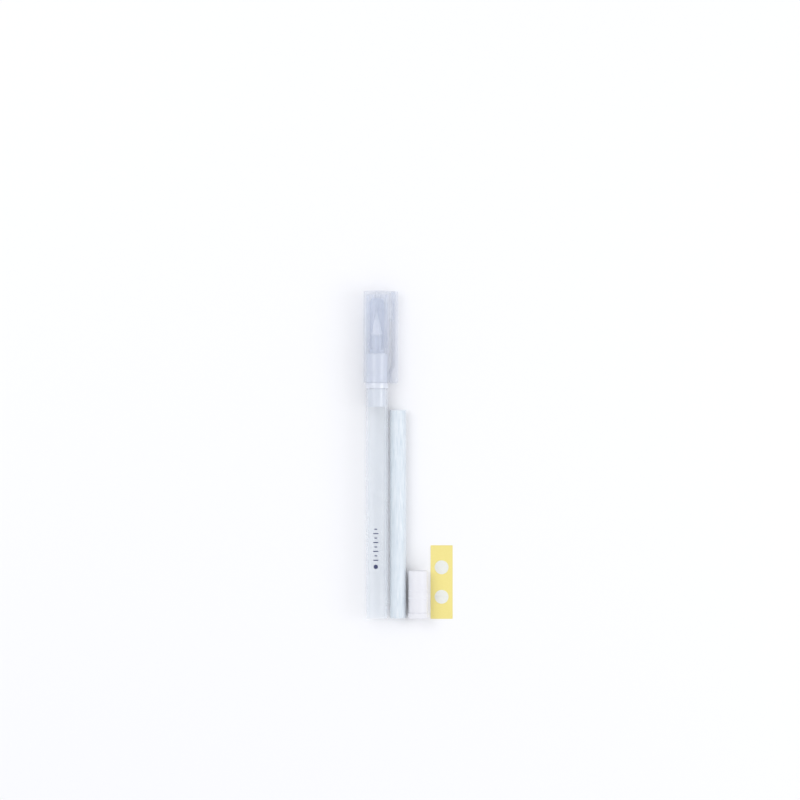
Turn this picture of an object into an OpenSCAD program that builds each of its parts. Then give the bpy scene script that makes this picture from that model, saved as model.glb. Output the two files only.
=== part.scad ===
// Refillable fine brush pen, capped and empty, lying on a flat surface
// with its ink core, tail plug and a small sticker sheet beside it.
// Each long piece is drawn upright along +Z with its nib end up, then
// laid on its side so that the nib points along +Y. Millimetres.

/* [Barrel] */
// Length of the barrel tube, open tail to grip joint
barrel_length = 96.3; // [80:0.1:120]
// Outside diameter of the barrel
barrel_d = 9.4; // [7.8:0.1:12]
// Wall of the barrel between its inside ribs
barrel_wall = 0.8; // [0.7:0.05:1]
// Length of the slimmer end at the open tail
tail_length = 4; // [2:0.1:8]
// How much slimmer the tail end is, on the radius
tail_step = 0.15; // [0.05:0.05:0.3]
// Wall around the tail socket
tail_wall = 0.4; // [0.3:0.05:0.45]
// Wall around the grip's spigot at the front
front_wall = 0.6; // [0.5:0.05:0.65]
// Number of ribs inside the barrel
rib_count = 6; // [3:1:10]
// Width of an inside rib
rib_width = 0.7; // [0.4:0.1:1.2]
// Height of an inside rib above the bore
rib_height = 0.3; // [0.2:0.05:0.5]

/* [Grip] */
// Length of the collar that shows between barrel and cap
collar_length = 2.3; // [1:0.1:6]
// Length of the grip that the cap covers
seat_length = 12.4; // [9:0.1:20]
// How far the cap seat steps in from the collar, on the radius
seat_step = 0.25; // [0.15:0.05:0.4]
// Length of the spigot pressed into the barrel
spigot_length = 7.8; // [4:0.1:12]
// Thickness of the wall that closes the ink chamber
chamber_end_wall = 3.5; // [2.5:0.1:6]
// Depth of the funnel in that wall
funnel_depth = 2; // [0.5:0.1:2.4]
// Distance of the snap bead from the cap's mouth
bead_height = 3; // [1.5:0.1:6]
// Width of the snap bead
bead_width = 0.6; // [0.3:0.1:1]

/* [Nib] */
// Diameter of the sealing boss at the shoulder
boss_d = 5.8; // [4.8:0.1:6.2]
// Length of the sealing boss
boss_length = 1.4; // [0.8:0.1:3]
// Diameter of the neck
neck_d = 3.8; // [3.5:0.1:4.6]
// Length of the neck
neck_length = 5.9; // [4:0.1:9]
// Diameter of the ferrule's ring
ring_d = 4.4; // [4.2:0.1:4.8]
// Length of the ferrule's ring
ring_length = 1.1; // [0.5:0.1:2]
// Width of the groove between neck and ring
groove_length = 0.3; // [0.2:0.1:0.6]
// Diameter at the bottom of that groove
groove_d = 3.2; // [2.9:0.1:3.4]
// Length of the ferrule's cone
cone_length = 5.3; // [4:0.1:8]
// Diameter of the cone behind the nib
cone_tip_d = 2; // [1.9:0.05:2.4]
// Diameter of the nib's rod
nib_d = 1.5; // [1.2:0.05:1.6]
// Length of the brush tip in front of the cone
nib_length = 3.4; // [2:0.1:6]
// Length of the rod's tail that goes into the ink core
nib_in_core = 5; // [3:0.1:9]

/* [Cap] */
// Wall of the cap
cap_wall = 1.025; // [0.8:0.025:1.5]
// Thickness of the cap's closed end
cap_end_wall = 1.5; // [1:0.1:3]
// Wall of the inner sealing cap
inner_cap_wall = 0.5; // [0.4:0.05:0.8]
// Free length in the inner cap in front of the nib
nib_head_room = 5.4; // [1:0.1:10]
// Gap between the inner cap's dome and the cap's end
dome_gap = 1.2; // [0.5:0.1:3]
// Corner radius of the inner cap's dome
dome_radius = 2.8; // [1:0.1:2.9]
// Number of ribs that hold the inner cap
cap_rib_count = 6; // [3:1:8]
// Thickness of those ribs
cap_rib_width = 0.7; // [0.5:0.1:1.2]

/* [Clip] */
// Width of the clip
clip_width = 5; // [3.5:0.1:6]
// Thickness of the clip
clip_thick = 1.5; // [1:0.1:2]
// Gap between cap and clip, for the pocket's cloth
clip_gap = 1.75; // [1.3:0.05:2.5]
// Length of the clip's solid root block
root_length = 5; // [3:0.1:8]
// Length from the cap's end to the end of the root's web
web_length = 12; // [9:0.1:16]
// Thickness of the web
web_thick = 2; // [1:0.1:3]
// How far the clip reaches past the cap's mouth
clip_overhang = 0.35; // [0:0.05:1.5]
// Radius of the clip's corners
clip_corner = 1.2; // [0.4:0.1:1.6]
// Length of the flat of the clip's bump
bump_flat = 2.6; // [1:0.1:4]
// Length of the ramp that leads up to the bump
bump_ramp = 3.4; // [2:0.1:6]
// Length of the lead-in at the clip's end
bump_lead = 1.8; // [1:0.1:3]

/* [Ink core] */
// Free length left for the core in its chamber
core_end_gap = 2.6; // [1:0.1:5]
// Thickness of the film around the fibres
film_thick = 0.1; // [0.08:0.01:0.2]

/* [Tail plug] */
// Length of the plug inside the barrel
plug_length = 17.7; // [12:0.1:24]
// Length of the plug's head
plug_head_length = 2.6; // [1.5:0.1:5]
// How far the head stands in from the barrel's tail, on the radius
plug_head_inset = 0.25; // [0.1:0.05:0.3]
// Height of the head's shallow dome
plug_dome = 0.4; // [0.2:0.05:1]
// Width of the undercut below the head
undercut_width = 0.3; // [0.2:0.1:0.8]
// Depth of the undercut, on the radius
undercut_depth = 0.15; // [0.05:0.05:0.3]
// Wall of the hollow plug
plug_wall = 0.8; // [0.6:0.05:1.2]
// Depth of the plug's hollow
plug_hollow_depth = 15; // [8:0.1:17]
// Distance of the first seal ring from the open end
seal_first = 8.3; // [2:0.1:9]
// Distance between the two seal rings
seal_pitch = 3.3; // [2:0.1:5]
// Width of a seal ring
seal_width = 0.8; // [0.4:0.1:1.4]
// Height of a seal ring
seal_height = 0.08; // [0.06:0.01:0.15]

/* [Sticker sheet] */
// Width of the backing sheet
sheet_width = 9.25; // [8:0.05:14]
// Length of the backing sheet
sheet_length = 30.9; // [24:0.1:45]
// Thickness of the backing sheet
sheet_thick = 0.15; // [0.1:0.01:0.3]
// Diameter of a round sticker
sticker_d = 5.8; // [4:0.1:7]
// Thickness of a sticker
sticker_thick = 0.1; // [0.06:0.01:0.2]
// Distance between the two stickers' centres
sticker_pitch = 12.4; // [8:0.1:16]

/* [Printed gauge] */
// Height of the gauge's lowest edge above the open tail
gauge_start = 20.9; // [19:0.1:40]
// Diameter of the gauge's round spot
gauge_spot_d = 1.8; // [1:0.1:2.4]
// Number of bars
gauge_bars = 8; // [3:1:12]
// Distance between bars
gauge_pitch = 1.85; // [1.2:0.05:3]
// Length of a long bar
gauge_bar_long = 2.1; // [1.5:0.1:3]
// Length of a short bar
gauge_bar_short = 1.1; // [0.6:0.1:1.4]
// Width of a bar
gauge_bar_width = 0.4; // [0.2:0.05:0.8]
// Thickness of the print
gauge_thick = 0.05; // [0.03:0.01:0.08]
// How far the gauge stands to the left of the barrel's top line
gauge_shift = 0.4; // [0:0.1:1]

/* [Fits] */
// Clearance of the core between the ribs, on the radius
core_clearance = 0.1; // [0.05:0.01:0.2]
// Clearance of the cap on its seat, on the radius
cap_clearance = 0.075; // [0.05:0.005:0.1]
// Clearance of the snap bead in the cap, on the radius
bead_clearance = 0.025; // [0.02:0.005:0.04]
// Clearance of the inner cap over the boss, on the radius
boss_clearance = 0.05; // [0.02:0.01:0.1]
// Clearance of the plug in the tail socket, on the radius
plug_clearance = 0.05; // [0.02:0.01:0.05]
// Clearance of pressed and glued pieces, on the radius
press_clearance = 0.02; // [0.01:0.005:0.05]
// Gap left along the pen where one piece stops against another
stop_gap = 0.05; // [0.02:0.01:0.2]

/* [Layout] */
// Gap between the barrel and the core beside it
core_gap = 0.66; // [0.4:0.02:10]
// Gap between the core and the plug beside it
plug_gap = 0.64; // [0.4:0.02:10]
// Gap between the plug and the sheet beside it
sheet_gap = 0.95; // [0.4:0.05:10]
// How far the plug's head lies below the barrel's tail
plug_drop = 0.4; // [0:0.1:5]
// How far the sheet's edge lies below the barrel's tail
sheet_drop = 0.5; // [0:0.1:5]

/* [Hidden] */
$fn = 96;

// How deep a rib or a web is sunk into the wall that carries it
sink = 0.3;
// How far a cutting shape runs past the face that it cuts
past = 1;
// Edge break on the turned ends
edge = 0.2;
// Height of the small step that leads onto a diameter
lead = 0.5;

// Radii, from the barrel outwards and inwards
barrel_r = barrel_d / 2;
tail_r = barrel_r - tail_step;
tail_bore_r = tail_r - tail_wall;
front_bore_r = barrel_r - front_wall;
bore_r = barrel_r - barrel_wall;
rib_tip_r = bore_r - rib_height;
core_r = rib_tip_r - core_clearance;
chamber_r = rib_tip_r;
seat_r = barrel_r - seat_step;
cap_bore_r = seat_r + cap_clearance;
cap_r = cap_bore_r + cap_wall;
bead_r = cap_bore_r - bead_clearance;
spigot_r = front_bore_r - press_clearance;
inner_bore_r = boss_d / 2 + boss_clearance;
inner_cap_r = inner_bore_r + inner_cap_wall;
nib_r = nib_d / 2;
rod_bore_r = nib_r + press_clearance;
ferrule_wall = 0.6;
ferrule_spigot_r = rod_bore_r + ferrule_wall;
neck_bore_r = ferrule_spigot_r + press_clearance;
plug_r = tail_bore_r - plug_clearance;
plug_head_r = tail_r - plug_head_inset;
plug_hollow_r = plug_r - plug_wall;

// Heights along the pen, from its open tail
tail_bore_depth = plug_length + lead;
front_bore_z = barrel_length - spigot_length - stop_gap;
mouth_z = barrel_length + collar_length;
shoulder_z = mouth_z + seat_length;
chamber_z = shoulder_z - chamber_end_wall;
boss_z = shoulder_z + boss_length;
neck_z = boss_z + neck_length;
ring_z = neck_z + groove_length;
cone_z = ring_z + ring_length;
nib_z = cone_z + cone_length;
tip_z = nib_z + nib_length;
core_length = chamber_z - plug_length - core_end_gap;
rod_tail_z = chamber_z - core_end_gap - nib_in_core;
ferrule_spigot_length = neck_length - 1.5;
cap_z = mouth_z + stop_gap;
inner_cap_z = shoulder_z + stop_gap;
inner_cap_length = tip_z + nib_head_room + inner_cap_wall - inner_cap_z;
cap_top_z = inner_cap_z + inner_cap_length + dome_gap + cap_end_wall;
cap_length = cap_top_z - cap_z;
cap_rib_z = boss_z + lead;

// Clip, measured outwards from the pen's axis
clip_in_r = cap_r + clip_gap;
clip_out_r = clip_in_r + clip_thick;
clip_end_z = cap_z - clip_overhang;
clip_top_z = cap_top_z - web_length;
bump_r = cap_r + 0.15;
// The clip leans down until its outer corner is just off the surface
clip_reach = sqrt(pow(clip_out_r, 2) + pow(clip_width / 2, 2));
clip_angle = asin((cap_r - stop_gap) / clip_reach) - atan2(clip_width / 2, clip_out_r);

// Places beside the pen, measured from the pen's axis and open tail
core_x = barrel_r + core_gap + core_r;
plug_x = core_x + core_r + plug_gap + plug_head_r;
sheet_x = plug_x + plug_head_r + sheet_gap;
sheet_right = sheet_x + sheet_width;
lowest_y = -max(plug_drop, sheet_drop);
middle_x = (sheet_right - cap_r) / 2;
middle_y = (cap_top_z + lowest_y) / 2;

// Lays an upright piece down: its axis at x and height, its foot at y
module lay(x, y, height) {
    translate([x - middle_x, y - middle_y, height])
        rotate([-90, 0, 0]) children();
}

// Half profile of a closed round end: a bar of radius r whose far corner is rounded
module round_end_profile(r, length, corner) {
    square([r, length - corner]);
    square([r - corner, length]);
    translate([r - corner, length - corner]) intersection() {
        circle(corner);
        square(corner);
    }
}

// Straight fins that stand inwards from a bore, evenly spaced round it
module fins(count, width, inner_r, outer_r, bottom, top) {
    for (i = [0 : count - 1])
        rotate([0, 0, i * 360 / count])
            translate([inner_r, -width / 2, bottom])
                cube([outer_r - inner_r, width, top - bottom]);
}

// Barrel: tube with a socket at each end and ribs that hold the core off the wall
module barrel() {
    color("lightsteelblue") lay(0, 0, cap_r) {
        rotate_extrude() polygon([
            [tail_bore_r, 0],
            [tail_r - edge, 0],
            [tail_r, edge],
            [tail_r, tail_length - tail_step],
            [barrel_r, tail_length],
            [barrel_r, barrel_length],
            [front_bore_r, barrel_length],
            [front_bore_r, front_bore_z],
            [bore_r, front_bore_z],
            [bore_r, tail_bore_depth],
            [tail_bore_r, tail_bore_depth]
        ]);
        fins(rib_count, rib_width, rib_tip_r, bore_r + sink,
            tail_bore_depth + lead, front_bore_z - lead);
    }
}

// One flat shape of the gauge, cut to a film that follows the barrel
module wrapped_print(bottom, top) {
    intersection() {
        difference() {
            translate([0, 0, bottom]) cylinder(h = top - bottom, r = barrel_r + gauge_thick);
            translate([0, 0, bottom - past])
                cylinder(h = top - bottom + 2 * past, r = barrel_r);
        }
        translate([-gauge_shift, 0, 0]) rotate([90, 0, 0])
            linear_extrude(barrel_r + past) children();
    }
}

// Printed fill gauge: a row of bars over a round spot
module barrel_gauge() {
    bars_z = gauge_start + gauge_spot_d + gauge_pitch;
    gauge_top = bars_z + gauge_bars * gauge_pitch;
    color("midnightblue") lay(0, 0, cap_r)
        wrapped_print(gauge_start, gauge_top) {
            translate([0, gauge_start + gauge_spot_d / 2]) circle(d = gauge_spot_d);
            for (i = [0 : gauge_bars - 1])
                translate([0, bars_z + i * gauge_pitch])
                    square([i % 2 == 0 ? gauge_bar_long : gauge_bar_short,
                        gauge_bar_width], center = true);
        }
}

// Grip section: spigot, collar, cap seat with its snap bead, sealing boss and neck
module grip_section() {
    spigot_z = barrel_length - spigot_length;
    bead_z = mouth_z + bead_height;
    neck_bore_z = neck_z - ferrule_spigot_length - stop_gap;
    color("lavender") lay(0, 0, cap_r)
        rotate_extrude() polygon([
            [chamber_r, spigot_z],
            [spigot_r - edge, spigot_z],
            [spigot_r, spigot_z + edge],
            [spigot_r, barrel_length],
            [barrel_r, barrel_length],
            [barrel_r, mouth_z],
            [seat_r, mouth_z],
            [seat_r, bead_z],
            [bead_r, bead_z + bead_width / 3],
            [bead_r, bead_z + bead_width * 2 / 3],
            [seat_r, bead_z + bead_width],
            [seat_r, shoulder_z - lead],
            [seat_r - lead, shoulder_z],
            [boss_d / 2, shoulder_z],
            [boss_d / 2, boss_z - edge],
            [boss_d / 2 - edge, boss_z],
            [neck_d / 2, boss_z],
            [neck_d / 2, neck_z],
            [neck_bore_r, neck_z],
            [neck_bore_r, neck_bore_z],
            [rod_bore_r, neck_bore_z],
            [rod_bore_r, chamber_z + funnel_depth],
            [chamber_r - lead, chamber_z],
            [chamber_r, chamber_z - lead]
        ]);
}

// Ferrule: pressed into the neck, it grips the nib's rod behind its tip
module nib_ferrule() {
    foot_z = neck_z - ferrule_spigot_length;
    color("lavender") lay(0, 0, cap_r)
        rotate_extrude() polygon([
            [rod_bore_r, foot_z],
            [ferrule_spigot_r, foot_z],
            [ferrule_spigot_r, neck_z],
            [groove_d / 2, neck_z],
            [groove_d / 2, ring_z],
            [ring_d / 2 - edge, ring_z],
            [ring_d / 2, ring_z + edge],
            [ring_d / 2, cone_z - edge],
            [ring_d / 2 - edge, cone_z],
            [cone_tip_d / 2, nib_z],
            [rod_bore_r, nib_z]
        ]);
}

// Brush nib: a straight rod that ends in a slender, slightly full point
module brush_nib() {
    color("whitesmoke") lay(0, 0, cap_r)
        rotate_extrude() polygon([
            [0, rod_tail_z],
            [nib_r - edge, rod_tail_z],
            [nib_r, rod_tail_z + edge],
            [nib_r, nib_z],
            [nib_r * 0.94, nib_z + nib_length * 0.2],
            [nib_r * 0.76, nib_z + nib_length * 0.45],
            [nib_r * 0.5, nib_z + nib_length * 0.7],
            [nib_r * 0.24, nib_z + nib_length * 0.9],
            [0, tip_z]
        ]);
}

// Upper clip: strip, solid root and web, moulded in one with the cap
module clip_root() {
    strip_length = cap_top_z - clip_top_z;
    intersection() {
        union() {
            translate([clip_in_r, -clip_width / 2, clip_top_z])
                cube([clip_thick, clip_width, strip_length]);
            translate([cap_r - sink, -web_thick / 2, clip_top_z])
                cube([clip_gap + 2 * sink, web_thick, strip_length]);
            translate([cap_r - sink, -clip_width / 2, cap_top_z - root_length])
                cube([clip_gap + 2 * sink, clip_width, root_length]);
        }
        // Rounds the root's outer corner at the cap's end
        rotate([90, 0, 0]) linear_extrude(clip_width + past, center = true) {
            translate([0, clip_top_z]) square([clip_out_r, strip_length - clip_corner]);
            translate([0, clip_top_z]) square([clip_out_r - clip_corner, strip_length]);
            translate([clip_out_r - clip_corner, cap_top_z - clip_corner]) circle(clip_corner);
        }
    }
}

// Cap: closed tube with fins that grip the inner cap, and the clip's root
module cap_shell() {
    color("lavender") lay(0, 0, cap_r) {
        difference() {
            union() {
                translate([0, 0, cap_z]) rotate_extrude()
                    round_end_profile(cap_r, cap_length, lead);
                rotate([0, 0, clip_angle]) clip_root();
            }
            translate([0, 0, cap_z - past])
                cylinder(h = cap_length + past - cap_end_wall, r = cap_bore_r);
        }
        fins(cap_rib_count, cap_rib_width, inner_cap_r, cap_bore_r + sink,
            cap_rib_z, cap_top_z - cap_end_wall + sink);
    }
}

// Inner cap: domed tube that closes on the boss and keeps the nib from drying
module inner_cap() {
    hollow_length = inner_cap_length - inner_cap_wall;
    color("aliceblue") lay(0, 0, cap_r)
        translate([0, 0, inner_cap_z]) difference() {
            rotate_extrude()
                round_end_profile(inner_cap_r, inner_cap_length, dome_radius);
            rotate_extrude()
                round_end_profile(inner_bore_r, hollow_length, dome_radius - inner_cap_wall);
        }
}

// Free part of the clip: it bends outwards below the root's web
module pocket_clip() {
    strip_top = clip_top_z - stop_gap;
    bump_z = clip_end_z + bump_lead;
    strip_length = strip_top - clip_end_z;
    color("lavender") lay(0, 0, cap_r) rotate([0, 0, clip_angle])
        intersection() {
            rotate([90, 0, 0]) linear_extrude(clip_width, center = true) polygon([
                [clip_out_r, strip_top],
                [clip_in_r, strip_top],
                [clip_in_r, bump_z + bump_flat + bump_ramp],
                [bump_r, bump_z + bump_flat],
                [bump_r, bump_z],
                [clip_in_r - clip_gap / 3, clip_end_z],
                [clip_out_r, clip_end_z]
            ]);
            // Outline of the strip seen from outside, with two rounded corners
            rotate([90, 0, 90]) linear_extrude(clip_out_r + past) {
                translate([-clip_width / 2, clip_end_z + clip_corner])
                    square([clip_width, strip_length - clip_corner]);
                translate([clip_corner - clip_width / 2, clip_end_z])
                    square([clip_width - 2 * clip_corner, clip_corner + past]);
                for (side = [-1, 1])
                    translate([side * (clip_width / 2 - clip_corner), clip_end_z + clip_corner])
                        circle(clip_corner);
            }
        }
}

// Film sleeve around the fibres of the ink core
module core_film() {
    color("lightcyan") lay(core_x, 0, core_r) difference() {
        cylinder(h = core_length, r = core_r);
        translate([0, 0, -past]) cylinder(h = core_length + 2 * past, r = core_r - film_thick);
    }
}

// Bundle of fibres that holds the ink
module core_fibre() {
    color("aliceblue") lay(core_x, 0, core_r)
        cylinder(h = core_length, r = core_r - film_thick);
}

// Tail plug: domed head, undercut, hollow spigot and two low seal rings
module tail_plug() {
    open_z = plug_head_length + plug_length;
    hollow_z = open_z - plug_hollow_depth;
    dome_sphere_r = (pow(plug_head_r, 2) + pow(plug_dome, 2)) / (2 * plug_dome);
    color("white") lay(plug_x, -plug_drop, plug_head_r) {
        intersection() {
            cylinder(h = plug_head_length, r = plug_head_r);
            translate([0, 0, dome_sphere_r]) sphere(dome_sphere_r);
        }
        rotate_extrude() difference() {
            union() {
                square([plug_r - undercut_depth, open_z - sink]);
                translate([0, plug_head_length + undercut_width])
                    square([plug_r, plug_length - undercut_width]);
                for (i = [0, 1])
                    translate([0, open_z - seal_first - i * seal_pitch - seal_width / 2])
                        square([plug_r + seal_height, seal_width]);
            }
            translate([0, hollow_z]) square([plug_hollow_r, plug_hollow_depth + past]);
            square([plug_head_r, plug_head_length / 2]);
        }
    }
}

// Backing sheet that carries the two stickers
module sticker_sheet() {
    color("khaki")
        translate([sheet_x - middle_x, -sheet_drop - middle_y, 0])
            cube([sheet_width, sheet_length, sheet_thick]);
}

// One round sticker, on the sheet's centre line
module sticker(offset_y) {
    color("ghostwhite")
        translate([
            sheet_x + sheet_width / 2 - middle_x,
            -sheet_drop + sheet_length / 2 + offset_y - middle_y,
            sheet_thick
        ])
            cylinder(h = sticker_thick, d = sticker_d);
}

barrel();
barrel_gauge();
grip_section();
nib_ferrule();
brush_nib();
cap_shell();
inner_cap();
pocket_clip();
core_film();
core_fibre();
tail_plug();
sticker_sheet();
sticker(sticker_pitch / 2);  // sticker_upper
sticker(-sticker_pitch / 2);  // sticker_lower
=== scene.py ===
import math
import random

import bmesh
import bpy
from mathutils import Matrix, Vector


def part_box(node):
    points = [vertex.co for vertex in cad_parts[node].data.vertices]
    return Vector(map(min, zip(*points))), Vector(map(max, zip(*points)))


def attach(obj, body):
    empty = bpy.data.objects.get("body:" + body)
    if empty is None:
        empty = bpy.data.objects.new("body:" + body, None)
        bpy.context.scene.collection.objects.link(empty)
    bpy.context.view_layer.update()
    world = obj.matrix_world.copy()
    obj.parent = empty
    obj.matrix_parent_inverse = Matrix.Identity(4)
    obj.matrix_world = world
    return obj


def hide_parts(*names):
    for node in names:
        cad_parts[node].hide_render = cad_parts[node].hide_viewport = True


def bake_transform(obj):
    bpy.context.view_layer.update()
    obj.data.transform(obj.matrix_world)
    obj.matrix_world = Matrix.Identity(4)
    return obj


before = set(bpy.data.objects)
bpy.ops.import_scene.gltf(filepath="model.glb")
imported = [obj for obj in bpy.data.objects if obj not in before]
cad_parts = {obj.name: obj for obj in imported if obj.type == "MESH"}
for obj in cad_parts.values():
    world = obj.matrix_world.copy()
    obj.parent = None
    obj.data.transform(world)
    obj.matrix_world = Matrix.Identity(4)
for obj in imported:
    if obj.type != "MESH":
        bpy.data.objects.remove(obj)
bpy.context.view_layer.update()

mm = 0.001


# ---------------------------------------------------------------- table, light and camera
# A wide sheet of matt white card, lit by one big softbox over the left shoulder,
# a weaker one from the right and an even white room. The camera hangs straight
# above the pen with a long lens, nib up.
def colour(hex_code, alpha=1.0):
    """An sRGB hex colour as the linear colour that a shader takes."""
    parts = [int(hex_code[i:i + 2], 16) / 255 for i in (0, 2, 4)]
    return [p / 12.92 if p <= 0.04045 else ((p + 0.055) / 1.055) ** 2.4 for p in parts] + [alpha]


def add(material, kind, inputs=None, **settings):
    """Adds one node: settings are its properties, inputs are values or the sockets to link from."""
    made = material.node_tree.nodes.new(kind)
    for name, value in settings.items():
        setattr(made, name, value)
    for name, value in (inputs or {}).items():
        if isinstance(value, bpy.types.NodeSocket):
            material.node_tree.links.new(value, made.inputs[name])
        else:
            made.inputs[name].default_value = value
    return made


def new_material(name):
    """A material with no shader yet, and the coordinates of the piece that wears it, in metres."""
    material = bpy.data.materials.new(name)
    material.use_nodes = True
    material.node_tree.nodes.clear()
    place = add(material, "ShaderNodeTexCoord").outputs["Object"]
    return material, place


def finish_material(material, surface):
    """Links the finished shader to the material's output."""
    add(material, "ShaderNodeOutputMaterial", {"Surface": surface})


def mesh_piece(name, bm, material, sharp=35):
    """Makes a shaded object from a bmesh; edges sharper than the angle stay crisp."""
    bmesh.ops.recalc_face_normals(bm, faces=bm.faces)
    mesh = bpy.data.meshes.new(name)
    bm.to_mesh(mesh)
    bm.free()
    mesh.shade_smooth()
    mesh.set_sharp_from_angle(angle=math.radians(sharp))
    mesh.materials.append(material)
    piece = bpy.data.objects.new(name, mesh)
    bpy.context.scene.collection.objects.link(piece)
    return piece


# matt card: nearly white and without a highlight, with a tooth that just breaks up the light
card, place = new_material("matt_card")
tooth = add(card, "ShaderNodeTexNoise", {"Vector": place, "Scale": 1 / (1.5 * mm), "Detail": 4.0})
lift = add(card, "ShaderNodeBump",
           {"Height": tooth.outputs["Fac"], "Strength": 0.05, "Distance": 0.05 * mm})
finish_material(card, add(card, "ShaderNodeBsdfPrincipled", {
    "Base Color": colour("F6F6F7"), "Roughness": 0.75, "Normal": lift.outputs["Normal"],
    "Specular IOR Level": 0.25}).outputs["BSDF"])

table_half = 4.0               # metres, so that the card's edge is far off even in a low view
flat = bmesh.new()
bmesh.ops.create_grid(flat, x_segments=1, y_segments=1, size=table_half)
floor = mesh_piece("table_top", flat, card)

room = bpy.data.worlds.new("white_room")
room.use_nodes = True
room.node_tree.nodes["Background"].inputs["Color"].default_value = colour("FAFBFF")
room.node_tree.nodes["Background"].inputs["Strength"].default_value = 0.87
bpy.context.scene.world = room

for name, where, size, watts in (
        ("softbox_left", (-0.55, 0.35, 0.9), 0.6, 2.3),
        ("softbox_right", (0.8, -0.1, 0.6), 0.5, 1.8)):
    lamp = bpy.data.lights.new(name, "AREA")
    lamp.energy = watts
    lamp.size = size
    holder = bpy.data.objects.new(name, lamp)
    holder.location = where
    holder.rotation_euler = (-Vector(where)).to_track_quat("-Z", "Y").to_euler()
    bpy.context.scene.collection.objects.link(holder)

view_width = 336 * mm          # width of table that the view takes in
camera_height = 1500 * mm
aim_right = 9.7 * mm           # from the pen's axis to the middle of the view
aim_up = 91.4 * mm             # from the pen's tail to the middle of the view
camera_data = bpy.data.cameras.new("camera")
camera_data.sensor_width = 36
camera_data.lens = camera_data.sensor_width * camera_height / view_width
camera = bpy.data.objects.new("camera", camera_data)
pen_low, pen_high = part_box("barrel")
camera.location = ((pen_low.x + pen_high.x) / 2 + aim_right, pen_low.y + aim_up, camera_height)
bpy.context.scene.collection.objects.link(camera)
bpy.context.scene.camera = camera
bpy.context.scene.view_settings.view_transform = "Standard"
# enough passes for light to cross every wall of the capped pen
bpy.context.scene.cycles.transparent_max_bounces = 32


# ---------------------------------------------------------------- barrel
# Injection-moulded polypropylene tube, left natural: milky, faintly blue and see-through.
# Fine ribs inside hold the core off the wall; the open tail is a little slimmer and has a
# smooth socket for the plug.
def rounded(corners, steps=5):
    """The outline through corners (radius, along, fillet), each corner turned into an arc."""
    nearly_straight = math.pi - 0.01
    points = []
    count = len(corners)
    for i, (r, t, fillet) in enumerate(corners):
        here = Vector((r, t))
        if not fillet or i in (0, count - 1):
            points.append(here)
            continue
        before = Vector(corners[i - 1][:2]) - here
        after = Vector(corners[(i + 1) % count][:2]) - here
        turn = before.angle(after)
        if turn > nearly_straight:
            points.append(here)
            continue
        # an arc takes at most the side, or half of it when the next corner has an arc too
        reach = fillet / math.tan(turn / 2)
        for side, beyond in ((before, corners[i - 1]), (after, corners[(i + 1) % count])):
            reach = min(reach, side.length * (0.49 if beyond[2] else 0.99))
        radius = reach * math.tan(turn / 2)
        inward = (before.normalized() + after.normalized()).normalized()
        middle = here + inward * (radius / math.sin(turn / 2))
        first = here + before.normalized() * reach - middle
        last = here + after.normalized() * reach - middle
        sweep = first.angle_signed(last)
        for k in range(steps + 1):
            a = -sweep * k / steps
            points.append(middle + Vector((first.x * math.cos(a) - first.y * math.sin(a),
                                           first.x * math.sin(a) + first.y * math.cos(a))))
    return points


def turned(corners, axis, ring=False, around=160, steps=5, shape=None):
    """Turns an outline in millimetres round an axis (x, foot y, z) that runs along +Y.

    With ring the outline closes on itself, as a tube's wall does. shape may change a
    point's radius: it is given radius, height and angle.
    """
    if ring:                       # starts half way along a side, so that every corner is rounded
        half = tuple((a + b) / 2 for a, b in zip(corners[-1][:2], corners[0][:2])) + (0,)
        corners = [half] + list(corners) + [half]
    points = rounded(corners, steps)
    if ring:
        points.pop()
    bm = bmesh.new()
    rings = []
    for r, t in points:
        if r < 1e-6:               # a point on the axis is one vertex for the whole ring
            rings.append([bm.verts.new((axis[0], axis[1] + t * mm, axis[2]))] * around)
            continue
        loop = []
        for k in range(around):
            angle = 2 * math.pi * k / around
            reach = (shape(r, t, angle) if shape else r) * mm
            loop.append(bm.verts.new((axis[0] + reach * math.cos(angle), axis[1] + t * mm,
                                      axis[2] + reach * math.sin(angle))))
        rings.append(loop)
    pairs = list(zip(rings, rings[1:] + rings[:1] if ring else rings[1:]))
    for one, other in pairs:
        for k in range(around):
            corner = [one[k], one[k - 1], other[k - 1], other[k]]
            face = [v for i, v in enumerate(corner) if v not in corner[:i]]
            if len(face) > 2:
                bm.faces.new(face)
    return bm


def fins(count, width, height, bottom, top):
    """A shape for turned: straight ribs, width across and height tall, between two heights."""
    flank = 0.12                   # width over which each side of a rib rises

    def shape(r, t, angle):
        if not bottom < t < top:
            return r
        step = 2 * math.pi / count
        off = abs((angle + step / 2) % step - step / 2) * r
        share = min(max((width / 2 + flank / 2 - off) / flank, 0), 1)
        return r - height * share
    return shape


def only_between(inner, limit):
    """Keeps a shape to the radii below a limit, such as the inside of a wall."""
    return lambda r, t, angle: inner(r, t, angle) if r < limit else r


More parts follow.
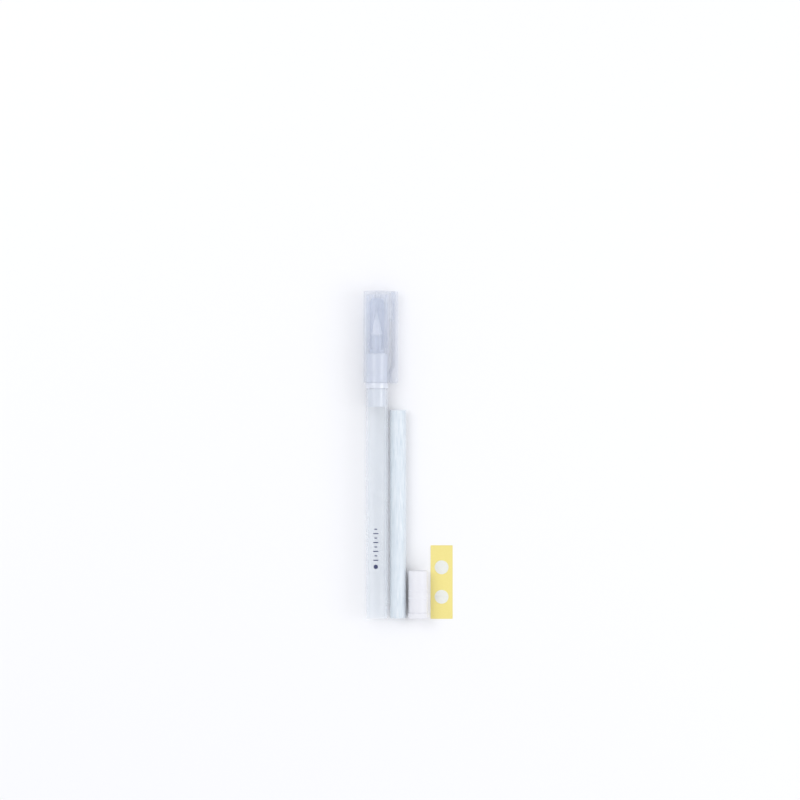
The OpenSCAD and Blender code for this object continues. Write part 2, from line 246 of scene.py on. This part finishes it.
def frosted(name, tint, depth_tint, solid):
    """Natural plastic as moulded: milky and see-through, with slow cloudiness and a satin skin.

    solid is the share of light that a wall stops when it is seen straight on. A wall seen at
    a slant stops more, because the path through it is longer; that draws the outlines.
    Only the solid share can shine, so the gloss and the coat are set high. The real grain of
    the mould is several times finer than the one drawn, which is as fine as can show.
    """
    roughness = 0.3
    most = max(solid, min(2.4 * solid, 0.95))
    material, place = new_material(name)
    cloud = add(material, "ShaderNodeTexNoise",
                {"Vector": place, "Scale": 1 / (6 * mm), "Detail": 3.0, "Roughness": 0.55})
    shade = add(material, "ShaderNodeMix", {
        "Factor": cloud.outputs["Fac"], "A": colour(tint), "B": colour(depth_tint)},
        data_type="RGBA")
    grain = add(material, "ShaderNodeTexNoise",
                {"Vector": place, "Scale": 1 / (0.12 * mm), "Detail": 2.0})
    rub = add(material, "ShaderNodeMapRange", {
        "Value": cloud.outputs["Fac"], "From Min": 0.3, "From Max": 0.7,
        "To Min": roughness - 0.05, "To Max": roughness + 0.06})
    skin = add(material, "ShaderNodeBump",
               {"Height": grain.outputs["Fac"], "Strength": 0.25, "Distance": 0.01 * mm})
    slant = add(material, "ShaderNodeLayerWeight", {"Blend": 0.5})
    depth = add(material, "ShaderNodeMapRange", {
        "Value": slant.outputs["Facing"], "From Min": 0.25, "From Max": 1.0,
        "To Min": solid, "To Max": most})
    finish_material(material, add(material, "ShaderNodeBsdfPrincipled", {
        "Base Color": shade.outputs["Result"], "Roughness": rub.outputs["Result"],
        "Normal": skin.outputs["Normal"], "IOR": 1.49, "Specular IOR Level": 1.0,
        "Coat Weight": 1.0, "Coat Roughness": 0.16, "Alpha": depth.outputs["Result"]}).outputs["BSDF"])
    return material


# heights run along the pen from the barrel's foot; an outline's corner is radius, height, fillet
barrel_low, barrel_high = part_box("barrel")
axis = ((barrel_low.x + barrel_high.x) / 2, barrel_low.y, (barrel_low.z + barrel_high.z) / 2)
barrel_r = (barrel_high.x - barrel_low.x) / 2 / mm
barrel_end = (barrel_high.y - barrel_low.y) / mm
tail_r = barrel_r - 0.15
tail_end = 4.0
socket_r = tail_r - 0.4
socket_end = 18.2
front_r = barrel_r - 0.6           # the socket for the grip, at the other end
front_end = barrel_end - 7.85
bore_r = barrel_r - 0.8
rib_count = 6
rib_w = 0.7
rib_h = 0.3
rib_rest = 0.5                     # plain bore left beyond each end of the ribs
rib_ramp = 0.3                     # length over which a rib's end slopes up
rib_low = socket_end + rib_rest
rib_high = front_end - rib_rest

# the palest of the mouldings: a light, slightly blue haze through which the ribs show
barrel_plastic = frosted("moulded_polypropylene_barrel", "F6FAFE", "EBF2FA", 0.2)
barrel = mesh_piece("barrel_tube", turned([
    (socket_r, 0, 0.1), (tail_r, 0, 0.15),
    (tail_r, tail_end - 0.15, 0.1), (barrel_r, tail_end, 0.1),
    (barrel_r, barrel_end, 0.12), (front_r, barrel_end, 0.05),
    (front_r, front_end, 0.05), (bore_r, front_end, 0.05),
    (bore_r, rib_high, 0), (bore_r, rib_high - rib_ramp, 0),
    (bore_r, rib_low + rib_ramp, 0), (bore_r, rib_low, 0),
    (bore_r, socket_end, 0.05), (socket_r, socket_end, 0.05)],
    axis, ring=True, around=192,
    shape=only_between(
        fins(rib_count, rib_w, rib_h, rib_low + rib_ramp / 2, rib_high - rib_ramp / 2),
        bore_r + 0.01)),
    barrel_plastic)
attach(barrel, "pen")
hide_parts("barrel")


# ---------------------------------------------------------------- printed gauge
# One pass of pad-printed ink, slightly thin in places. It reads dark blue and duller than the
# plastic. Real pinholes are too fine to show, so the thin places are drawn coarser.
ink, place = new_material("pad_printed_ink")
thin = add(ink, "ShaderNodeTexNoise", {"Vector": place, "Scale": 1 / (0.15 * mm), "Detail": 3.0})
tone = add(ink, "ShaderNodeMix", {
    "Factor": thin.outputs["Fac"], "A": colour("262B4E"), "B": colour("454C78")},
    data_type="RGBA")
film = add(ink, "ShaderNodeBump",
           {"Height": thin.outputs["Fac"], "Strength": 0.2, "Distance": 0.01 * mm})
finish_material(ink, add(ink, "ShaderNodeBsdfPrincipled", {
    "Base Color": tone.outputs["Result"], "Roughness": 0.42,
    "Normal": film.outputs["Normal"]}).outputs["BSDF"])
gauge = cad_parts["barrel_gauge"]
gauge.data.materials.clear()
gauge.data.materials.append(ink)


# ---------------------------------------------------------------- grip section
# Second polypropylene moulding, pressed into the barrel: a collar that meets the cap, the
# cap's seat with a low snap bead, a sealing boss and the slim neck that takes the ferrule.
mouth = barrel_end + 2.3           # the collar's upper face, where the cap stops
shoulder = mouth + 12.4
boss_end = shoulder + 1.4
neck_end = boss_end + 5.9
spigot_low = barrel_end - 7.8
chamber_end = shoulder - 3.5
funnel_end = chamber_end + 2.0
spigot_r = front_r - 0.02
chamber_r = bore_r - rib_h
seat_r = barrel_r - 0.25
boss_r = 2.9
neck_r = 1.9
rod_r = 0.75                       # the nib's rod
rod_hole_r = rod_r + 0.02
ferrule_hole_r = rod_r + 0.64
ferrule_hole_low = neck_end - 4.45
bead_r = seat_r + 0.05
bead = mouth + 3.0

# the same plastic in thicker walls: nearly solid and a little bluer
grip_plastic = frosted("moulded_polypropylene_grip", "E7ECF5", "DFE4F0", 0.88)
grip = mesh_piece("grip_section_body", turned([
    (chamber_r, spigot_low, 0.08), (spigot_r, spigot_low, 0.2),
    (spigot_r, barrel_end, 0), (barrel_r, barrel_end, 0.12),
    (barrel_r, mouth, 0.15), (seat_r, mouth, 0.05),
    (seat_r, bead, 0.1), (bead_r, bead + 0.2, 0.1),
    (bead_r, bead + 0.4, 0.1), (seat_r, bead + 0.6, 0.1),
    (seat_r, shoulder - 0.5, 0.3), (seat_r - 0.5, shoulder, 0.2),
    (boss_r, shoulder, 0.1), (boss_r, boss_end, 0.25),
    (neck_r, boss_end, 0.2), (neck_r, neck_end, 0.25),
    (ferrule_hole_r, neck_end, 0.05), (ferrule_hole_r, ferrule_hole_low, 0.05),
    (rod_hole_r, ferrule_hole_low, 0.05), (rod_hole_r, funnel_end, 0.1),
    (chamber_r - 0.5, chamber_end, 0.3), (chamber_r, chamber_end - 0.5, 0.3)],
    axis, ring=True), grip_plastic)
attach(grip, "pen")
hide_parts("grip_section")


# ---------------------------------------------------------------- nib ferrule
# Small acetal moulding pressed into the neck: a stem, a ring and a cone that runs down to the
# brush. Acetal is dense, so it reads whiter than the grip and lets nothing through.
stem_r = rod_r + 0.62
stem_low = neck_end - 4.4
waist_r = 1.6
ring_r = 2.2
ring_low = neck_end + 0.3
ring_high = ring_low + 1.1
cone_r = 1.95
cone_tip_r = 1.0
cone_end = ring_high + 5.3

ferrule_plastic = frosted("moulded_acetal_ferrule", "FCFDFF", "F5F7FC", 1.0)
ferrule = mesh_piece("nib_ferrule_cone", turned([
    (rod_hole_r, stem_low, 0), (stem_r, stem_low, 0.1),
    (stem_r, neck_end, 0), (waist_r, neck_end, 0.05), (waist_r, ring_low, 0.05),
    (ring_r, ring_low, 0.35), (ring_r, ring_high, 0.25), (cone_r, ring_high + 0.1, 0.1),
    (cone_tip_r, cone_end, 0.12), (rod_hole_r, cone_end, 0.05)],
    axis, ring=True, around=96), ferrule_plastic)
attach(ferrule, "pen")
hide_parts("nib_ferrule")


# ---------------------------------------------------------------- brush nib
# A bundle of nylon fibres bonded to a rod, ground to a slender point. Its other end goes
# through the grip into the chamber, where it feeds from the core.
rod_low = 99.9
tip = cone_end + 3.4


def ground_point(s):
    """The point's outline, s of the way from the cone to the tip."""
    return (rod_r * (1 - s) ** 0.8 * (1 + 0.35 * s), cone_end + (tip - cone_end) * s, 0)


def fluted(r, t, angle):
    """Bonded fibres show as fine flutes all round: a fine wave and a slower, lower one."""
    return r * (1 + 0.018 * math.sin(22 * angle) + 0.012 * math.sin(9 * angle + 1.3))


# bonded nylon: matt white with a faint sheen and fine lengthwise strands, which are drawn
# coarser than the real filaments so that they show
fibre, place = new_material("bonded_nylon_fibre")
strand_place = add(fibre, "ShaderNodeMapping", {"Vector": place, "Scale": (1, 0.06, 1)})
strand = add(fibre, "ShaderNodeTexNoise", {
    "Vector": strand_place.outputs["Vector"], "Scale": 1 / (0.1 * mm), "Detail": 3.0})
tone = add(fibre, "ShaderNodeMix", {
    "Factor": strand.outputs["Fac"], "A": colour("F7F8FA"), "B": colour("D9DDE4")},
    data_type="RGBA")
ridge = add(fibre, "ShaderNodeBump",
            {"Height": strand.outputs["Fac"], "Strength": 0.5, "Distance": 0.02 * mm})
finish_material(fibre, add(fibre, "ShaderNodeBsdfPrincipled", {
    "Base Color": tone.outputs["Result"], "Roughness": 0.6, "Normal": ridge.outputs["Normal"],
    "Sheen Weight": 0.3, "Sheen Roughness": 0.4}).outputs["BSDF"])
nib = mesh_piece("brush_nib_point", turned(
    [(0, rod_low, 0), (rod_r, rod_low, 0.2), (rod_r, cone_end, 0.5)]
    + [ground_point(s) for s in (0.15, 0.3, 0.45, 0.6, 0.72, 0.82, 0.9, 0.96)]
    + [(0, tip, 0)],
    axis, around=132, shape=fluted), fibre)
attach(nib, "pen")
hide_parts("brush_nib")


# ---------------------------------------------------------------- cap
# One polypropylene moulding: a closed tube, six inside fins that grip the inner cap, and a
# solid root with a web that carries the clip along its side.
cap_low, cap_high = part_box("cap_shell")
cap_start = (cap_low.y - axis[1]) / mm
cap_end = (cap_high.y - axis[1]) / mm
cap_r = (axis[0] - cap_low.x) / mm
cap_bore = seat_r + 0.075
cap_ceiling = cap_end - 1.5
inner_cap_r = 3.45
fin_low = boss_end + 0.5
fin_ramp = 0.4                     # length over which a fin's lower end slopes up
gate_r = 0.9                       # the mark that the moulding gate leaves in the closed end
gate_depth = 0.15
clip_in = cap_r + 1.75             # the strip's inner and outer face, out from the pen's axis
clip_out = clip_in + 1.5
clip_half = 2.5                    # half the strip's width
root_low = cap_end - 5.0
web_low = cap_end - 12.0
web_half = 1.0
sunk = 0.4                         # how deep root and web reach into the cap's wall
into_strip = 0.3                   # and how deep into the strip
table_gap = 0.05
# the clip leans down until its lower corner is just off the table
clip_lean = (math.asin((cap_r - table_gap) / math.hypot(clip_out, clip_half))
             - math.atan2(clip_half, clip_out))


def beside(out, along, across):
    """A point out from the pen's axis, along it, and across the clip's width, in millimetres."""
    c, s = math.cos(clip_lean), math.sin(clip_lean)
    return Vector((axis[0] + (out * c + across * s) * mm, axis[1] + along * mm,
                   axis[2] + (-out * s + across * c) * mm))


def block(out, along, across, soft):
    """A block between pairs of limits beside the pen, with its edges rounded."""
    bm = bmesh.new()
    corners = {(i, j, k): bm.verts.new(beside(out[i], along[j], across[k]))
               for i in (0, 1) for j in (0, 1) for k in (0, 1)}
    for fixed in range(3):
        for side in (0, 1):
            loop = []
            for a, b in ((0, 0), (1, 0), (1, 1), (0, 1)):
                key = [a, b]
                key.insert(fixed, side)
                loop.append(corners[tuple(key)])
            bm.faces.new(loop)
    bmesh.ops.recalc_face_normals(bm, faces=bm.faces)
    bmesh.ops.bevel(bm, geom=list(bm.edges), offset=soft * mm, segments=4, profile=0.5,
                    affect="EDGES")
    return bm


def joined(name, first, others, material, sharp=35):
    """Fuses closed shells into one solid piece."""
    body = mesh_piece(name, first, material)
    for extra in others:
        tool = mesh_piece(name + "_tool", extra, material)
        fuse = body.modifiers.new("fuse", "BOOLEAN")
        fuse.operation = "UNION"
        fuse.solver = "EXACT"
        fuse.object = tool
        shown = bpy.context.evaluated_depsgraph_get()
        fused = bpy.data.meshes.new_from_object(body.evaluated_get(shown))
        body.modifiers.clear()
        body.data = fused
        bpy.data.objects.remove(tool)
    body.data.shade_smooth()
    body.data.set_sharp_from_angle(angle=math.radians(sharp))
    return body


# a cooler haze than the barrel's, light enough for the pieces inside the cap to show
cap_plastic = frosted("moulded_polypropylene_cap", "E2E8F5", "D8E0EF", 0.17)
cap_tube = turned([
    (0, cap_end - gate_depth, 0), (gate_r - 0.1, cap_end - gate_depth, 0.05),
    (gate_r, cap_end, 0.05), (cap_r, cap_end, 0.5), (cap_r, cap_start, 0.2),
    (cap_bore, cap_start, 0.15),
    (cap_bore, fin_low, 0), (cap_bore, fin_low + fin_ramp, 0), (cap_bore, cap_ceiling - 0.1, 0),
    (cap_bore, cap_ceiling, 0), (0, cap_ceiling, 0)],
    axis, around=192,
    shape=only_between(
        fins(rib_count, rib_w, cap_bore - inner_cap_r, fin_low + fin_ramp / 2, cap_ceiling + 0.1),
        cap_bore + 0.01))
# root and web stay a little inside the strip's faces, so that no two faces lie on each other
root = block((cap_r - sunk, clip_in + into_strip), (root_low, cap_end - 0.06),
             (-clip_half + 0.05, clip_half - 0.05), 0.3)
web = block((cap_r - sunk, clip_in + into_strip), (web_low, root_low + 0.5),
            (-web_half, web_half), 0.25)
cap = joined("cap_moulding", cap_tube, [root, web], cap_plastic)
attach(cap, "cap")
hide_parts("cap_shell")


# ---------------------------------------------------------------- inner cap
# Thin domed polypropylene tube, pressed between the fins; its mouth closes on the boss and
# keeps the nib from drying. It reads as the darkest blue shape inside the cap.
inner_low, inner_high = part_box("inner_cap")
inner_start = (inner_low.y - axis[1]) / mm
inner_end = (inner_high.y - axis[1]) / mm
inner_wall = 0.5
inner_dome = 2.8
inner_bore = inner_cap_r - inner_wall
inner_plastic = frosted("moulded_polypropylene_inner_cap", "C9D4EB", "BCC9E2", 0.14)
inner_cap = mesh_piece("inner_cap_dome", turned([
    (0, inner_end, 0), (inner_cap_r, inner_end, inner_dome), (inner_cap_r, inner_start, 0.1),
    (inner_bore, inner_start, 0.1),
    (inner_bore, inner_end - inner_wall, inner_dome - inner_wall), (0, inner_end - inner_wall, 0)],
    axis, around=128, steps=10), inner_plastic)
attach(inner_cap, "cap")
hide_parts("inner_cap")


# ---------------------------------------------------------------- clip
# Moulded in one with the cap: a slim strip, slightly crowned outside, that ends in an inward
# bump with a soft lead-in.
clip_end = cap_start - 0.35        # the free end, just past the cap's mouth
lead_in = clip_in - 0.58           # inner face at the free end
bump_out = cap_r + 0.15            # inner face on the bump, just off the cap
bump_low = clip_end + 1.8
bump_high = clip_end + 4.4
bump_foot = clip_end + 7.8
crown = 0.1                        # how much lower the outer face is at its edges
end_corner = 1.2
root_corner = 0.7
end_thinning = 0.35                # how much the strip thins at its very ends
edge = 0.35                        # radius along the strip's long edges


def clip_section(along):
    """Inner and outer reach and half width of the strip at one height."""
    ramp = ((clip_end, lead_in), (bump_low, bump_out), (bump_high, bump_out),
            (bump_foot, clip_in), (cap_end, clip_in))
    inner = clip_in
    for (a, low), (b, high) in zip(ramp, ramp[1:]):
        if a <= along <= b:
            s = (along - a) / (b - a)
            inner = low + (high - low) * (s * s * (3 - 2 * s))
    outer, half = clip_out, clip_half
    for end, corner in ((clip_end, end_corner), (cap_end, root_corner)):
        near = corner - abs(along - end)
        if near > 0:
            drop = 1 - math.sqrt(max(1 - (near / corner) ** 2, 0))
            half -= corner * drop
            outer -= end_thinning * drop
    return inner, outer, half


def clip_strip():
    """Lofts the strip's rounded cross-section along its length."""
    # sections lie close together at the rounded ends and over the bump
    from_end = [0.02 + d for d in (0, 0.05, 0.15, 0.3, 0.5, 0.75, 1.0, 1.3)]
    from_root = [0.02 + d for d in (0, 0.05, 0.15, 0.3, 0.5, 0.75)]
    stops = sorted({round(clip_end + d, 3) for d in from_end}
                   | {round(bump_low + 0.4 * k, 3) for k in range(18)}
                   | {round(clip_end + 10 + 1.5 * k, 3) for k in range(19)}
                   | {round(cap_end - d, 3) for d in from_root})
    arc_steps = 5
    face_steps = 8
    bm = bmesh.new()
    rings = []
    for along in stops:
        inner, outer, half = clip_section(along)
        soft = min(edge, half * 0.6, (outer - inner) * 0.4)
        loop = []
        corners = ((outer, half), (inner, half), (inner, -half), (outer, -half))
        for turn, (o, a) in enumerate(corners):
            centre_o = o - soft if o == outer else o + soft
            centre_a = a - soft if a > 0 else a + soft
            for k in range(arc_steps + 1):
                angle = math.pi / 2 * (turn + k / arc_steps)
                out = centre_o + soft * math.cos(angle)
                across = centre_a + soft * math.sin(angle)
                if o == outer:
                    out -= crown * (across / clip_half) ** 2
                loop.append((out, across))
        # extra points across the crowned face keep it round
        for k in range(1, face_steps):
            across = -half + soft + (2 * half - 2 * soft) * k / face_steps
            loop.append((outer - crown * (across / clip_half) ** 2, across))
        rings.append([bm.verts.new(beside(out, along, across)) for out, across in loop])
    for one, other in zip(rings, rings[1:]):
        for k in range(len(one)):
            bm.faces.new([one[k], one[k - 1], other[k - 1], other[k]])
    bm.faces.new(rings[0])
    bm.faces.new(rings[-1])
    return bm


clip = mesh_piece("clip_strip", clip_strip(), cap_plastic)
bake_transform(clip)
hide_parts("pocket_clip")


# ---------------------------------------------------------------- ink core
# A bundle of crimped polyester fibres drawn into a thin film sleeve with one lapped seam.
# The fibres show through the film as soft lengthwise streaks.
core_low, core_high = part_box("core_film")
core_axis = ((core_low.x + core_high.x) / 2, core_low.y, (core_low.z + core_high.z) / 2)
core_r = (core_high.x - core_low.x) / 2 / mm
core_end = (core_high.y - core_low.y) / mm
film_t = 0.1
lap = 0.05                         # how far the film stands proud over its seam
lap_from, lap_to = 1.9, 2.4        # where the seam lies, as angles round the core
bundle_r = core_r - film_t - lap
cut_back = 0.05                    # the fibres end this far inside the film
tightness = 0.6                    # share of the bundle's unevenness that the film leaves
dice = random.Random(7)
waves = [(dice.randint(14, 70), dice.uniform(0, 6.28), dice.uniform(0.001, 0.003))
         for _ in range(9)]


def bundled(r, t, angle):
    """The fibres' uneven outside, which the film pulls nearly round."""
    dents = sum(depth * (1 + math.sin(count * angle + phase)) / 2 for count, phase, depth in waves)
    return r * (1 - dents * tightness)


# crimped polyester: dull white with slow pale blotches, and blue-grey streaks that are painted shade
# in the gaps between the strands; the strands are drawn as bundles of many, because one is too fine to
# show
wick, place = new_material("bundled_polyester_fibre")
long_place = add(wick, "ShaderNodeMapping", {"Vector": place, "Scale": (1, 0.05, 1)})
streak = add(wick, "ShaderNodeTexNoise", {
    "Vector": long_place.outputs["Vector"], "Scale": 1 / (0.4 * mm), "Detail": 5.0,
    "Roughness": 0.6})
# where the gaps between strands lie, as painted shade
strand_gap_shade = add(wick, "ShaderNodeMapRange", {
    "Value": streak.outputs["Fac"], "From Min": 0.35, "From Max": 0.68})
blotch = add(wick, "ShaderNodeTexNoise", {"Vector": place, "Scale": 1 / (2.2 * mm), "Detail": 4.0})
blotch_share = add(wick, "ShaderNodeMapRange", {
    "Value": blotch.outputs["Fac"], "From Min": 0.4, "From Max": 0.75, "To Max": 0.8})
# the blue-grey colour is painted shade in the gaps between the strands
tone = add(wick, "ShaderNodeMix", {
    "Factor": strand_gap_shade.outputs["Result"], "A": colour("FBFDFE"), "B": colour("C3D3DF")},
    data_type="RGBA")
cloudy = add(wick, "ShaderNodeMix", {
    "Factor": blotch_share.outputs["Result"], "A": tone.outputs["Result"], "B": colour("EAF1F6")},
    data_type="RGBA")
ridge = add(wick, "ShaderNodeBump",
            {"Height": streak.outputs["Fac"], "Strength": 0.7, "Distance": 0.05 * mm})
finish_material(wick, add(wick, "ShaderNodeBsdfPrincipled", {
    "Base Color": cloudy.outputs["Result"], "Roughness": 0.8, "Normal": ridge.outputs["Normal"],
    "Sheen Weight": 0.3}).outputs["BSDF"])
core = mesh_piece("core_fibre_bundle", turned([
    (0, cut_back, 0), (bundle_r, cut_back, 0.15),
    (bundle_r, core_end - cut_back, 0.15), (0, core_end - cut_back, 0)],
    core_axis, around=240, shape=bundled), wick)
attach(core, "ink_core")
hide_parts("core_fibre")

# stretched film: clear and glossy, with long shallow wrinkles that break up its highlight
film, place = new_material("polypropylene_film")
pull_place = add(film, "ShaderNodeMapping", {"Vector": place, "Scale": (1, 0.15, 1)})
pull = add(film, "ShaderNodeTexNoise", {
    "Vector": pull_place.outputs["Vector"], "Scale": 1 / (0.8 * mm), "Detail": 3.0})
wrinkle = add(film, "ShaderNodeBump",
              {"Height": pull.outputs["Fac"], "Strength": 0.35, "Distance": 0.05 * mm})
finish_material(film, add(film, "ShaderNodeBsdfPrincipled", {
    "Base Color": colour("F2F7FB"), "Roughness": 0.22, "IOR": 1.49,
    "Normal": wrinkle.outputs["Normal"], "Alpha": 0.22}).outputs["BSDF"])


def lapped(r, t, angle):
    """The sleeve has its full radius over the lapped seam and lies a little lower elsewhere."""
    return r if lap_from < angle < lap_to else r - lap


sleeve = mesh_piece("core_film_sleeve", turned([
    (core_r - film_t, 0, 0.03), (core_r, 0, 0.03), (core_r, core_end, 0.03),
    (core_r - film_t, core_end, 0.03)],
    core_axis, ring=True, around=240, shape=lapped), film)
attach(sleeve, "ink_core")
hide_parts("core_film")


# ---------------------------------------------------------------- tail plug
# White polyethylene moulding, waxy and a little soft to the light. Its head closes the
# barrel; two low rings on the hollow spigot seal the socket.
plug_low, plug_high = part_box("tail_plug")
plug_axis = ((plug_low.x + plug_high.x) / 2, plug_low.y, (plug_low.z + plug_high.z) / 2)
head_r = (plug_high.x - plug_low.x) / 2 / mm
plug_end = (plug_high.y - plug_low.y) / mm
head_end = 2.6
head_crown = 0.4                   # how much the head's end face is domed
plug_r = socket_r - 0.05
relief = 0.15                      # groove under the head, so that it seats flat
relief_end = head_end + 0.3
hollow_r = plug_r - 0.8
hollow_low = plug_end - 15.0
seal_h = 0.08
seal_top = 0.25                    # half a seal ring's length, at its crest and at its foot
seal_foot = 0.4
upper_seal = plug_end - 8.3
seal_pitch = 3.3
plug_gate_depth = 0.15

# waxy white: light sinks in a little, which softens the shaded side, under a satin skin with
# slow cloudiness and a grain drawn coarser than the mould's
white, place = new_material("moulded_polyethylene")
cloud = add(white, "ShaderNodeTexNoise", {"Vector": place, "Scale": 1 / (4 * mm), "Detail": 3.0})
tone = add(white, "ShaderNodeMix", {
    "Factor": cloud.outputs["Fac"], "A": colour("EDEDF0"), "B": colour("E4E4E9")},
    data_type="RGBA")
rub = add(white, "ShaderNodeMapRange", {
    "Value": cloud.outputs["Fac"], "From Min": 0.3, "From Max": 0.7,
    "To Min": 0.34, "To Max": 0.46})
grain = add(white, "ShaderNodeTexNoise", {"Vector": place, "Scale": 1 / (0.1 * mm), "Detail": 2.0})
skin = add(white, "ShaderNodeBump",
           {"Height": grain.outputs["Fac"], "Strength": 0.2, "Distance": 0.01 * mm})
finish_material(white, add(white, "ShaderNodeBsdfPrincipled", {
    "Base Color": tone.outputs["Result"], "Roughness": rub.outputs["Result"],
    "Normal": skin.outputs["Normal"], "IOR": 1.5, "Subsurface Weight": 0.4,
    "Subsurface Radius": (1.0, 1.0, 1.0), "Subsurface Scale": 0.6 * mm}).outputs["BSDF"])


def seal(middle):
    """The four corners of one low seal ring."""
    return [(plug_r, middle - seal_foot, 0.1), (plug_r + seal_h, middle - seal_top, 0.1),
            (plug_r + seal_h, middle + seal_top, 0.1), (plug_r, middle + seal_foot, 0.1)]


plug = mesh_piece("tail_plug_body", turned(
    [(0, plug_gate_depth, 0), (0.45, plug_gate_depth, 0.05), (0.55, 0.02, 0.05)]
    + [(head_r * s, head_crown * s * s, 0) for s in (0.15, 0.3, 0.45, 0.6, 0.75, 0.88)]
    + [(head_r, head_crown, 0.35), (head_r, head_end, 0.15),
       (plug_r - relief, head_end, 0.05), (plug_r - relief, relief_end, 0.05),
       (plug_r, relief_end, 0.05)]
    + seal(upper_seal - seal_pitch) + seal(upper_seal)
    + [(plug_r, plug_end, 0.2), (hollow_r, plug_end, 0.15), (hollow_r, hollow_low, 0.6),
       (0, hollow_low, 0)],
    plug_axis, around=160), white)
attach(plug, "tail_plug")
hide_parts("tail_plug")


# ---------------------------------------------------------------- sticker sheet
# Yellow coated release paper, cut square, with two round paper stickers lightly pressed on.
def plate(low, high, corner_r, soft_edge, steps=6):
    """A thin plate between two corners in metres, its corners and upper edge eased."""
    bm = bmesh.new()
    loops = []
    for z, inset in ((low.z, 0), (high.z - soft_edge, 0),
                     (high.z - soft_edge * 0.3, soft_edge * 0.3), (high.z, soft_edge)):
        loop = []
        for turn, (x, y) in enumerate(((high.x, high.y), (low.x, high.y), (low.x, low.y),
                                       (high.x, low.y))):
            cx = x - math.copysign(corner_r, x - (low.x + high.x) / 2)
            cy = y - math.copysign(corner_r, y - (low.y + high.y) / 2)
            for k in range(steps + 1):
                a = math.pi / 2 * (turn + k / steps)
                reach = corner_r - inset
                loop.append(bm.verts.new((cx + reach * math.cos(a), cy + reach * math.sin(a), z)))
        loops.append(loop)
    for one, other in zip(loops, loops[1:]):
        for k in range(len(one)):
            bm.faces.new([one[k], one[k - 1], other[k - 1], other[k]])
    bm.faces.new(loops[0])
    bm.faces.new(loops[-1])
    # on a round plate the four corners' arcs meet in shared points
    bmesh.ops.remove_doubles(bm, verts=list(bm.verts), dist=0.0001 * mm)
    return bm


def paper(name, light, dark, roughness, coat):
    """Paper, with or without a coat: an even colour with the pulp's faint mottle and tooth.

    The mottle is drawn several times coarser than real pulp, which would be too fine to show.
    """
    material, place = new_material(name)
    pulp = add(material, "ShaderNodeTexNoise",
               {"Vector": place, "Scale": 1 / (0.4 * mm), "Detail": 5.0, "Roughness": 0.6})
    tone = add(material, "ShaderNodeMix", {
        "Factor": pulp.outputs["Fac"], "A": colour(light), "B": colour(dark)}, data_type="RGBA")
    tooth = add(material, "ShaderNodeBump",
                {"Height": pulp.outputs["Fac"], "Strength": 0.2, "Distance": 0.02 * mm})
    finish_material(material, add(material, "ShaderNodeBsdfPrincipled", {
        "Base Color": tone.outputs["Result"], "Roughness": roughness,
        "Normal": tooth.outputs["Normal"], "Coat Weight": coat,
        "Coat Roughness": 0.3}).outputs["BSDF"])
    return material


# the sheet is soft yellow with the slight shine of its silicone coat
release_paper = paper("coated_release_paper", "F3E592", "EBDB7E", 0.5, 0.3)
sheet_low, sheet_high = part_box("sticker_sheet")
backing = mesh_piece("sticker_backing", plate(sheet_low, sheet_high, 0.25 * mm, 0.04 * mm),
                     release_paper)
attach(backing, "sticker_sheet")
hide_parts("sticker_sheet")

# the stickers are off-white and quite dull, which sets them off from the sheet
label_paper = paper("uncoated_label_paper", "EDEEE8", "E3E5DE", 0.7, 0.0)
for name in ("sticker_upper", "sticker_lower"):
    low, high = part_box(name)
    disc_r = (high.x - low.x) / 2
    disc = mesh_piece(name + "_disc", plate(low, high, disc_r, 0.03 * mm, steps=24), label_paper)
    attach(disc, "sticker_sheet")
    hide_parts(name)
